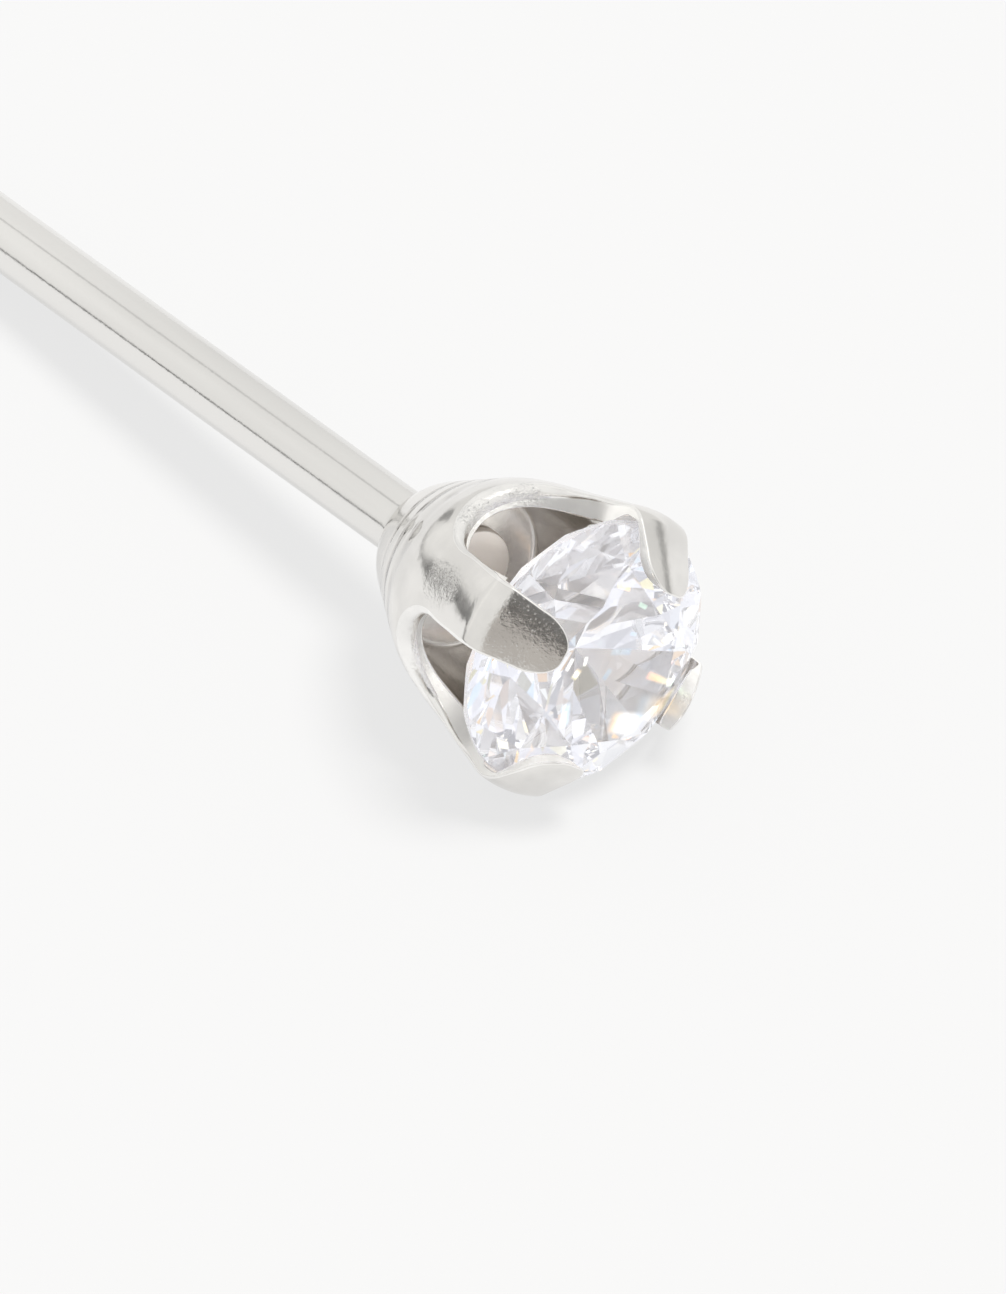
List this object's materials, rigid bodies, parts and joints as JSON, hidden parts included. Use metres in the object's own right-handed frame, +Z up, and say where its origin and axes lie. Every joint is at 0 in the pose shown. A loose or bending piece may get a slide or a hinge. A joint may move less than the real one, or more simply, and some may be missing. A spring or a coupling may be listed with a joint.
{
  "type": "piercing stud",
  "caption": "Straight-post piercing stud with a round brilliant-cut clear stone held in a bell-shaped polished steel setting with folded claws.",
  "frame": {"origin": "centre of the stud's footprint, on the surface that it lies on", "axes": "+Y along the stud, from the stone towards the tail of the post, +X across it, +Z up"},
  "size_m": [0.003, 0.0142, 0.003],
  "materials": {
    "post": "polished steel",
    "claw_setting": "polished steel with rougher cut edges",
    "stone": "polished facets"
  },
  "bodies": {
    "root": {"post": "post", "claw_setting": "claw_setting", "stone": "stone"}
  },
  "joints": []
}
